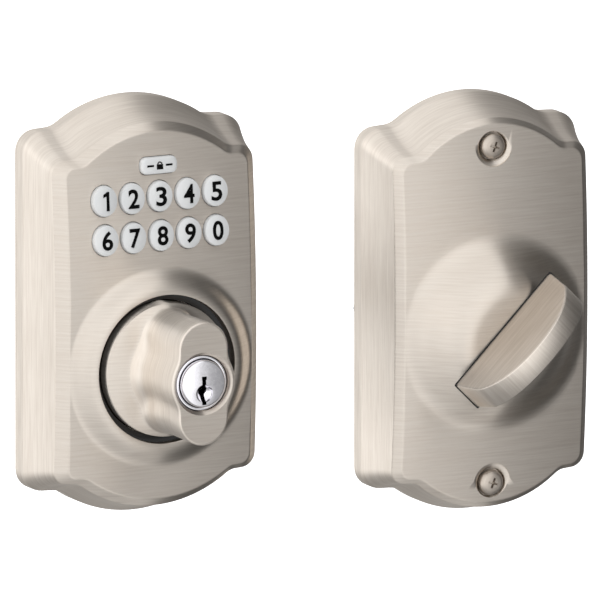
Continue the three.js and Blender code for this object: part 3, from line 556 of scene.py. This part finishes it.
def rounded_bar(spare=0.0, steps=9):
    """Outline of the small button above the keys: a bar with round ends, larger all round by spare."""
    x, z, r = 6.1 + spare, 2.6 + spare, 2.2 + spare
    corners = [
        ((x - r, -z), (x, -z), (x, 0)), ((x, 0), (x, z), (x - r, z)),
        ((-x + r, z), (-x, z), (-x, 0)), ((-x, 0), (-x, -z), (-x + r, -z)),
    ]
    out = []
    for start, pull, end in corners:
        for i in range(steps + (end[0] in (x - r, -x + r))):
            t = i / steps
            shares = ((1 - t) ** 2, 2 * t * (1 - t), t * t)
            out.append(tuple(sum(s * p[axis] for s, p in zip(shares, (start, pull, end))) for axis in (0, 1)))
    return out


def program_cutter():
    bm = bmesh.new()
    slab(bm, rounded_bar(KEY_GAP), -7, 5)
    bmesh.ops.transform(bm, matrix=keypad_place @ Matrix.Translation((0, 0, PROGRAM_Z)), verts=bm.verts)
    return bm


bm = bmesh.new()
shell(bm, OUTSIDE, OUTSIDE_RISE, KNOB_HOLE, [], [(KNOB_HOLE, 25.6), (24.85, 25.6), (24.85, 22.6)])
outside_plate = finished(
    bm, "outside_plate", [nickel_face, nickel_wall], "root", ["exterior_escutcheon"],
    [oval_cutters(), program_cutter()],
)
# The halves are shown side by side only to be seen together: the outside one isn't mirrored in the other.
outside_plate.visible_glossy = False

# ---------- keypad ----------


NUMERAL_HEIGHT, NUMERAL_WIDTH = 5.8, 3.5


def numeral(letter):
    """A bold narrow numeral as a thin slab set into the middle of a key's top, its face just proud."""
    curve = bpy.data.curves.new("numeral", "FONT")
    curve.body = letter
    curve.offset = 0.02
    curve.extrude = 0.5
    curve.resolution_u = 6
    holder = bpy.data.objects.new("numeral", curve)
    bpy.context.scene.collection.objects.link(holder)
    graph = bpy.context.evaluated_depsgraph_get()
    made = bpy.data.meshes.new_from_object(holder.evaluated_get(graph))
    bpy.data.objects.remove(holder)
    xs = [v.co.x for v in made.vertices]
    ys = [v.co.y for v in made.vertices]
    tall, wide = NUMERAL_HEIGHT / (max(ys) - min(ys)), NUMERAL_WIDTH / (max(xs) - min(xs))
    centred = Matrix.Translation((-(max(xs) + min(xs)) / 2, -(max(ys) + min(ys)) / 2, 0))
    made.transform(Matrix.Rotation(QUARTER, 4, "X") @ Matrix.Diagonal((wide, tall, 0.5, 1)) @ centred)
    made.transform(Matrix.Translation(spot(0, KEY_PROUD - 0.21, 0)))
    return made


KEY_DOME = 0.62  # how far a key's top falls from its middle to its edge
ONE = [(0.1, -2.9), (1.05, -2.9), (1.05, 2.9), (0.4, 2.9), (-0.9, 2.05), (-0.9, 1.15), (0.1, 1.6)]
for (x, z), letter in zip(key_spots, key_names):
    bm = bmesh.new()
    radius = KEY_HEIGHT / 2
    top = [[radius * t, KEY_PROUD - KEY_DOME * t**2.6] for t in (0, 0.2, 0.4, 0.55, 0.7, 0.82, 0.9, 0.955)]
    flange = radius + 0.4
    side = [[radius * 0.99, 0.75], [radius, 0.35], [radius, -2.5]]
    turned(bm, top + side + [[flange, -2.5], [flange, -3.3], [0, -3.3]], 56)
    bmesh.ops.scale(bm, vec=(KEY_WIDTH / KEY_HEIGHT, 1, 1), verts=bm.verts)
    body_faces = set(bm.faces)
    if letter == "1":
        slab(bm, ONE, KEY_PROUD - 0.4, KEY_PROUD + 0.04)
    elif letter == "9":
        six = numeral("6")
        six.transform(Matrix.Rotation(math.pi, 4, "Y"))
        bm.from_mesh(six)
    else:
        bm.from_mesh(numeral(letter))
    for face in set(bm.faces) - body_faces:
        face.material_index = 1
    bmesh.ops.transform(bm, matrix=keypad_place @ Matrix.Translation((x, 0, z)), verts=bm.verts)
    finished(bm, f"keycap_{letter}", [key_rubber, key_ink], f"key_{letter}", [f"key_{letter}"])

bm = bmesh.new()
skin(bm, [
    [spot(x * s, d, z * s) for x, z in rounded_bar()]
    for s, d in ((0.05, 1.3), (0.5, 1.28), (0.82, 1.2), (0.93, 1.05), (0.985, 0.8), (1, 0.4), (1, -3.3))
])
bmesh.ops.holes_fill(bm, edges=[e for e in bm.edges if e.is_boundary])
# Its mark: a padlock between two short rules.
button_faces = set(bm.faces)
MARK = (1.22, 1.36)
for left, right, low, high in ((-4.2, -2, -0.3, 0.3), (2, 4.2, -0.3, 0.3), (-1.05, 1.05, -1.2, 0.35)):
    slab(bm, [(left, low), (right, low), (right, high), (left, high)], *MARK)
shackle = arc(0, 0.35, 0.85, 0, math.pi, 10) + arc(0, 0.35, 0.5, math.pi, 0, 10)
slab(bm, shackle, *MARK)
for face in set(bm.faces) - button_faces:
    face.material_index = 1
bmesh.ops.transform(bm, matrix=keypad_place @ Matrix.Translation((0, 0, PROGRAM_Z)), verts=bm.verts)
finished(bm, "program_button", [key_rubber, key_ink], "program_key", ["program_key"])

# ---------- knob ----------

KNOB_RADIUS = 20.4
KNOB_DEPTH = 53.8
KNOB_LIP = 29.3
HANDLE_HALF_HEIGHT, HANDLE_HALF_WIDTH, HANDLE_BULGE = 18.85, 8, 10.5
AROUND = 168


def handle_reach(angle):
    """From the spindle to the handle's edge: a slot shape whose sides bulge."""
    c, s = abs(math.cos(angle)), abs(math.sin(angle))
    lobe = HANDLE_HALF_HEIGHT - HANDLE_HALF_WIDTH
    straight = HANDLE_HALF_WIDTH / max(c, 1e-6)
    if straight * s > lobe:
        straight = lobe * s + math.sqrt(max(HANDLE_HALF_WIDTH**2 - (lobe * c) ** 2, 0))
    return (straight**12 + HANDLE_BULGE**12) ** (1 / 12)


def knob_ring(depth, blend, waist=1.0, inside=0.0):
    """Round at the foot, the handle's outline at the top; waist draws it in sideways."""
    out = []
    for i in range(AROUND):
        angle = 2 * math.pi * i / AROUND
        reach = handle_reach(angle) - inside
        narrowed = 1 + (waist - 1) * abs(math.cos(angle))
        radius = KNOB_RADIUS * (1 - blend) + reach * blend * narrowed
        out.append(spot(radius * math.cos(angle), depth, radius * math.sin(angle)))
    return out


def round_ring(radius, depth):
    turn = [2 * math.pi * i / AROUND for i in range(AROUND)]
    return [spot(radius * math.cos(a), depth, radius * math.sin(a)) for a in turn]


def flowing(stations, count):
    """Smooth values through (height, value, value) stations, by a Catmull-Rom curve."""
    out = []
    padded = [stations[0], *stations, stations[-1]]
    for a, b, c, d in zip(padded, padded[1:], padded[2:], padded[3:]):
        for i in range(count):
            t = i / count
            out.append([
                q + 0.5 * t * (r - p + t * (2 * p - 5 * q + 4 * r - s + t * (3 * q - p - 3 * r + s)))
                for p, q, r, s in zip(a, b, c, d)
            ])
    return out + [list(stations[-1])]


waisted = flowing(
    [(0.25, 0.02, 1), (0.6, 0.2, 1), (1, 0.45, 1), (1.5, 0.7, 0.98), (2.4, 0.88, 0.96), (4.2, 0.97, 0.94),
     (8, 1, 0.93), (14, 1, 0.94), (20.5, 1, 0.97), (23.4, 1, 1)],
    4,
)
KNOB_FOOT = 21.4  # front of the flange behind the disc
knob = [
    round_ring(KNOB_RADIUS, KNOB_FOOT), round_ring(KNOB_RADIUS, KNOB_LIP - 0.35),
    round_ring(KNOB_RADIUS - 0.1, KNOB_LIP - 0.1),
]
knob += [knob_ring(KNOB_LIP + h, b, w) for h, b, w in waisted]
knob += [
    knob_ring(KNOB_DEPTH - 0.35, 1), knob_ring(KNOB_DEPTH - 0.12, 1, inside=0.12),
    knob_ring(KNOB_DEPTH, 1, inside=0.4), knob_ring(KNOB_DEPTH, 1, inside=0.75),
]
flank = range(15, len(knob) - 2)  # the bands above the neck are rubbed like the walls
rim = knob_ring(KNOB_DEPTH, 1, inside=0.8)
dish = round_ring(9.6, KNOB_DEPTH)
knob += [mixed(rim, dish, s) for s in (0.3, 0.65, 1)]
mouth = [(9.35, 0.25), (9, 0.75), (8.7, 1.1), (8.6, 1.4)]
knob += [round_ring(radius, KNOB_DEPTH - below) for radius, below in mouth]
# The bore down to the back, the hollow boss and the flange behind the disc.
behind_disc = [(8.6, 7), (12.7, 7), (12.7, 18.5), (22.6, 18.5), (22.6, KNOB_FOOT)]
knob += [round_ring(radius, depth) for radius, depth in behind_disc]
bm = bmesh.new()
skin(bm, knob, [1 if i in flank else 0 for i in range(len(knob))], closed=True)
finished(
    bm, "key_knob", [nickel_face, nickel_wall], "outside_turn", ["outside_turn"], angle=38
)

bm = bmesh.new()
turned(bm, [[20.7, 21.7], [24.55, 21.7], [24.55, 25.3], [22.2, 25.3], [20.7, 25], [20.7, 21.7]], 96, 0.2)
finished(bm, "knob_bearing_ring", [black_acetal], "root", ["turn_collar"])

CYLINDER_BACK, SLEEVE_FRONT, PLUG_FRONT = 8, 52.2, 54
bm = bmesh.new()
sleeve = [[7.55, CYLINDER_BACK], [8.3, CYLINDER_BACK], [8.3, SLEEVE_FRONT], [7.55, SLEEVE_FRONT]]
turned(bm, sleeve + sleeve[:1], 96, 0.15)
finished(bm, "cylinder_sleeve", [chrome], "outside_turn", ["cylinder_shell"])

# The plug, its wavy key slot and the round guide at the slot's foot.
bm = bmesh.new()
plug = [[0, CYLINDER_BACK], [7.25, CYLINDER_BACK], [7.25, PLUG_FRONT - 0.4], [6.85, PLUG_FRONT]]
turned(bm, plug + [[0, PLUG_FRONT + 0.05]], 96, 0.2)
slot_cut = bmesh.new()
slot_right = [(0.75, -6.4), (0.75, -3.4), (1.35, -2.6), (1.35, -1.4), (0.65, -0.6), (0.65, 1.3), (0.85, 1.3)]
slot_left = [(-0.75, 1.3), (-0.65, 1.3), (-0.65, -1), (-1.35, -1.7), (-1.35, -3), (-0.65, -3.8)]
slab(slot_cut, [(-0.65, -6.4), *slot_right, (0.85, 2.3), (-0.75, 2.3), *slot_left], 28, 56)
guide_cut = bmesh.new()
bmesh.ops.create_uvsphere(guide_cut, u_segments=48, v_segments=32, radius=3.0)
bmesh.ops.translate(guide_cut, vec=spot(0.1, 55.2, -2.9), verts=guide_cut.verts)
finished(bm, "key_plug", [chrome], "cylinder_plug", ["cylinder_plug"], [slot_cut, guide_cut])

# ---------- inside half: cover, screws and thumbturn ----------

INSIDE_RISE = 11.2
INSIDE_TOP = 11.5
SCREW_HEIGHTS = {"top": 57, "bottom": -46.5}


def inside_face_depth(z):
    return INSIDE["depth"] - bow(INSIDE, 0, z)


dimples = []
for z in SCREW_HEIGHTS.values():
    face = inside_face_depth(z)
    cutter = bmesh.new()
    turned(cutter, [
        [0, 5], [2.4, 5], [2.4, face - 2.2], [4.25, face - 2.2], [4.35, face - 1.1], [4.7, face - 0.5],
        [5.3, face - 0.12], [6.1, face + 0.05], [6.1, face + 1], [0, face + 1],
    ], 64)
    bmesh.ops.translate(cutter, vec=(INSIDE_X, 0, z), verts=cutter.verts)
    dimples.append(cutter)
bm = bmesh.new()
shell(bm, INSIDE, INSIDE_RISE, INSIDE_TOP, [9, 6, 3.7], [(3.7, 31.8), (17.3, 31.8), (17.3, 22)])
finished(bm, "inside_plate", [nickel_face, nickel_wall], "root", ["interior_cover"], dimples)

for which, z in SCREW_HEIGHTS.items():
    screw = f"cover_screw_{which}"
    top = -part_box(screw)[0].y / MM
    shank = [[0, 6], [1.6, 6]]
    head = [(1.6, 2.3), (3.9, 2.3), (3.9, 1.5), (3.75, 1), (3.4, 0.6), (2.7, 0.25), (1.7, 0.07), (0, 0)]
    bm = bmesh.new()
    turned(bm, shank + [[radius, top - below] for radius, below in head], 64, 0.12)
    crosses = []
    for turn in (0.35, 0.35 + QUARTER):
        cutter = bmesh.new()
        bmesh.ops.create_cube(cutter, size=1)
        bmesh.ops.scale(cutter, vec=(4.4, 3, 0.85), verts=cutter.verts)
        deep = [v for v in cutter.verts if v.co.y > 0]
        bmesh.ops.scale(cutter, vec=(0.45, 1, 0.6), verts=deep)
        bmesh.ops.translate(cutter, vec=(0, 0.1, 0), verts=cutter.verts)
        shift = Matrix.Translation(spot(0, top, 0)) @ Matrix.Rotation(turn, 4, "Y")
        bmesh.ops.transform(cutter, matrix=shift, verts=cutter.verts)
        crosses.append(cutter)
    for piece in (bm, *crosses):
        bmesh.ops.translate(piece, vec=(INSIDE_X, 0, z), verts=piece.verts)
    finished(bm, f"pan_head_screw_{which}", [nickel_with_painted_shade], "root", [screw], crosses)

TURN_LENGTH, TURN_HEIGHT, TURN_END = 44.9, 21.4, 10.8
TURN_THICKNESS, TURN_RIM_THICKNESS = 10.5, 7.2
BLADE_BASE = INSIDE["depth"] + INSIDE_RISE + 0.3


def bezier(a, b, c, d, steps):
    out = []
    for i in range(1, steps + 1):
        t = i / steps
        shares = ((1 - t) ** 3, 3 * t * (1 - t) ** 2, 3 * t * t * (1 - t), t**3)
        out.append(tuple(sum(s * p[axis] for s, p in zip(shares, (a, b, c, d))) for axis in (0, 1)))
    return out


half, lean = TURN_LENGTH / 2, 1.6
blade = [(-half, 0), (half, 0), (half - lean, TURN_END)]
blade += bezier(blade[-1], (half - 5.5, TURN_HEIGHT - 3.1), (half - 13, TURN_HEIGHT), (0, TURN_HEIGHT), 18)
blade += bezier(
    (0, TURN_HEIGHT), (13 - half, TURN_HEIGHT), (5.5 - half, TURN_HEIGHT - 3.1), (lean - half, TURN_END), 18
)
bm = bmesh.new()
side = bm.faces.new([bm.verts.new(spot(x, BLADE_BASE + h, -TURN_THICKNESS / 2)) for x, h in blade])
thicken(bm, side, (0, 0, TURN_THICKNESS))
for vert in bm.verts:
    risen_share = (-vert.co.y - BLADE_BASE) / TURN_HEIGHT
    vert.co.z *= 1 + (TURN_RIM_THICKNESS / TURN_THICKNESS - 1) * risen_share
bmesh.ops.recalc_face_normals(bm, faces=bm.faces)
for face in bm.faces:
    face.material_index = 0 if abs(face.normal.z) > 0.5 else 1
sharp = [
    e for e in bm.edges
    if e.calc_face_angle(0) > 0.4 and any(-v.co.y >= BLADE_BASE + 0.01 for v in e.verts)
]
bmesh.ops.bevel(
    bm, geom=sharp, offset=0.6, offset_type="OFFSET", affect="EDGES", segments=3, profile=0.5, material=-1
)
shaft = bmesh.new()
turned(shaft, [[0, 8.4], [3.4, 8.4], [3.4, BLADE_BASE + 0.2], [0, BLADE_BASE + 0.2]], 48)
stub = bpy.data.meshes.new("stub")
shaft.to_mesh(stub)
shaft.free()
bm.from_mesh(stub)
place = Matrix.Translation((INSIDE_X, 0, 0)) @ Matrix.Rotation(-math.pi / 4, 4, "Y")
bmesh.ops.transform(bm, matrix=place, verts=bm.verts)
finished(bm, "turn_blade", [nickel_with_painted_shade, nickel_rim], "thumbturn", ["thumbturn"], angle=30)

# A thin black slab under the blade, a painted shadow for the shaded gap round the blade's foot: it shows as a
# dark line there.
bm = bmesh.new()
shadow_half_x, shadow_half_z = TURN_LENGTH / 2 + 0.35, TURN_THICKNESS / 2 + 0.35
seat = [(-shadow_half_x, -shadow_half_z), (shadow_half_x, -shadow_half_z), (shadow_half_x, shadow_half_z), (-shadow_half_x, shadow_half_z)]
slab(bm, seat, BLADE_BASE - 0.25, BLADE_BASE)
upright = [e for e in bm.edges if abs(e.verts[0].co.y - e.verts[1].co.y) > 0.1]
bmesh.ops.bevel(
    bm, geom=upright, offset=0.5, offset_type="OFFSET", affect="EDGES", segments=3, profile=0.5, material=-1
)
bmesh.ops.transform(bm, matrix=place, verts=bm.verts)
finished(bm, "painted_shadow_under_blade", [black_acetal], "thumbturn")

# ---------- everything else keeps its shape and gets its real finish ----------

FINISHES = {
    gasket_rubber: ["weather_gasket", "keypad_membrane"],
    board_lacquer: ["keypad_board", "control_board"],
    zinc: [
        "turn_keeper", "tailpiece", "rear_plate", *[f"rear_plate_screw_{i}" for i in (1, 2, 3, 4)],
        "support_plate", "through_bolt_left", "through_bolt_right", "thumbturn_clip", "clutch_motor",
        "battery_contact_left", "battery_contact_right",
    ],
    brass: [
        "cylinder_cap", "clutch_worm", "threaded_post_left", "threaded_post_right", "cover_post_top",
        "cover_post_bottom", "spindle_driver",
    ],
    abs_black: ["clutch_nut", "battery_tray", "bolt_switch"],
    cell_wrap: [f"battery_{i}" for i in (1, 2, 3, 4)],
}
for material, names in FINISHES.items():
    for name in names:
        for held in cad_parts[name].material_slots:
            held.material = material

# ---------- studio ----------

scene = bpy.context.scene
scene.view_settings.view_transform = "Standard"


BRIGHTEST = 1.6
# Level of the light by direction, from the far left (-1) to the far right (1).
LEVELS = [
    (-1, 1.3), (-0.88, 1.6), (-0.7, 1.5), (-0.4, 1.52), (-0.1, 1.55), (0.2, 1.5), (0.32, 1.42), (0.37, 1.2),
    (0.41, 0.88), (0.45, 0.62), (0.52, 0.46), (0.6, 0.36), (0.75, 0.24), (0.85, 0.13), (1, 0.1),
]
# The share of it that is left, from straight below (-1) to straight above (1).
SHARES = [(-1, 0.2), (-0.7, 0.35), (-0.25, 1), (0.35, 1), (0.75, 0.8), (1, 0.7)]
BEHIND = 0.35  # level straight behind the door, as a share of the brightest


def ramped(tree, value, stops, top):
    """A grey ramp over a direction that runs from -1 to 1, with levels as shares of top."""
    share = add(tree, "ShaderNodeMapRange", {"Value": value, "From Min": -1, "From Max": 1}).outputs["Result"]
    ramp = add(tree, "ShaderNodeValToRGB", {"Fac": share})
    elements = ramp.color_ramp.elements
    while len(elements) < len(stops):
        elements.new(0.5)
    for element, (direction, level) in zip(elements, stops):
        element.position = (direction + 1) / 2
        element.color = (level / top,) * 3 + (1,)
    return ramp.outputs["Color"]


def studio_light():
    """One long soft light at the left and front, falling away to the right; the camera sees plain white."""
    world = bpy.data.worlds.new("studio")
    scene.world = world
    world.use_nodes = True
    tree = world.node_tree
    tree.nodes.clear()
    way = add(tree, "ShaderNodeTexCoord").outputs["Generated"]
    parts = add(tree, "ShaderNodeSeparateXYZ", {"Vector": way}).outputs
    turned_back = {"Value": parts["Y"], "From Min": 0.45, "From Max": 1}
    behind = add(tree, "ShaderNodeMapRange", turned_back, interpolation_type="SMOOTHSTEP").outputs["Result"]
    mix = add(tree, "ShaderNodeMix", {0: behind}, data_type="RGBA")
    tree.links.new(ramped(tree, parts["X"], LEVELS, BRIGHTEST), mix.inputs[6])
    mix.inputs[7].default_value = (BEHIND,) * 3 + (1,)
    height = ramped(tree, parts["Z"], SHARES, 1)
    level = add(tree, "ShaderNodeMath", {0: height, 1: BRIGHTEST}, operation="MULTIPLY").outputs[0]
    studio = add(tree, "ShaderNodeBackground", {"Color": mix.outputs[2], "Strength": level})
    plain = add(tree, "ShaderNodeBackground", {"Color": (1, 1, 1, 1), "Strength": 1})
    seen = add(tree, "ShaderNodeLightPath").outputs["Is Camera Ray"]
    both = add(tree, "ShaderNodeMixShader", {0: seen, 1: studio.outputs[0], 2: plain.outputs[0]})
    add(tree, "ShaderNodeOutputWorld", {"Surface": both.outputs[0]})


studio_light()

# A wide sheet of white paper, well below the lock so that no shadow shows, in metres.
FLOOR_DROP, FLOOR_REACH = 0.25, 9
floor_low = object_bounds()[0][2] - FLOOR_DROP
bm = bmesh.new()
bmesh.ops.create_grid(bm, x_segments=8, y_segments=8, size=FLOOR_REACH)
bmesh.ops.translate(bm, vec=(0, 0, floor_low), verts=bm.verts)
floor_mesh = bpy.data.meshes.new("floor")
bm.to_mesh(floor_mesh)
bm.free()
floor = bpy.data.objects.new("floor", floor_mesh)
scene.collection.objects.link(floor)
paper, tree, shader, place = started("white_paper")
shader.inputs["Base Color"].default_value = linear("#fafafa")
shader.inputs["Roughness"].default_value = 0.9
shader.inputs["Emission Color"].default_value = (1, 1, 1, 1)
shader.inputs["Emission Strength"].default_value = 0.75
floor_mesh.materials.append(paper)
floor.visible_glossy = False
floor.visible_diffuse = False

# Seen from the left and a little above, through a very long lens.
VIEW_TURN = math.radians(26.5)
VIEW_RISE = math.radians(11.3)
VIEW_DISTANCE, VIEW_LENS = 13.255, 2640
target = Vector((59.0, 0, 10.8)) * MM
level_reach = math.cos(VIEW_RISE)
toward = Vector((
    -math.sin(VIEW_TURN) * level_reach, -math.cos(VIEW_TURN) * level_reach, math.sin(VIEW_RISE)
))
lens = bpy.data.cameras.new("camera")
lens.sensor_width = 36
lens.lens = VIEW_LENS
lens.clip_end = 100
camera = bpy.data.objects.new("camera", lens)
camera.location = target + toward * VIEW_DISTANCE
camera.rotation_euler = toward.to_track_quat("Z", "Y").to_euler()
scene.collection.objects.link(camera)
scene.camera = camera
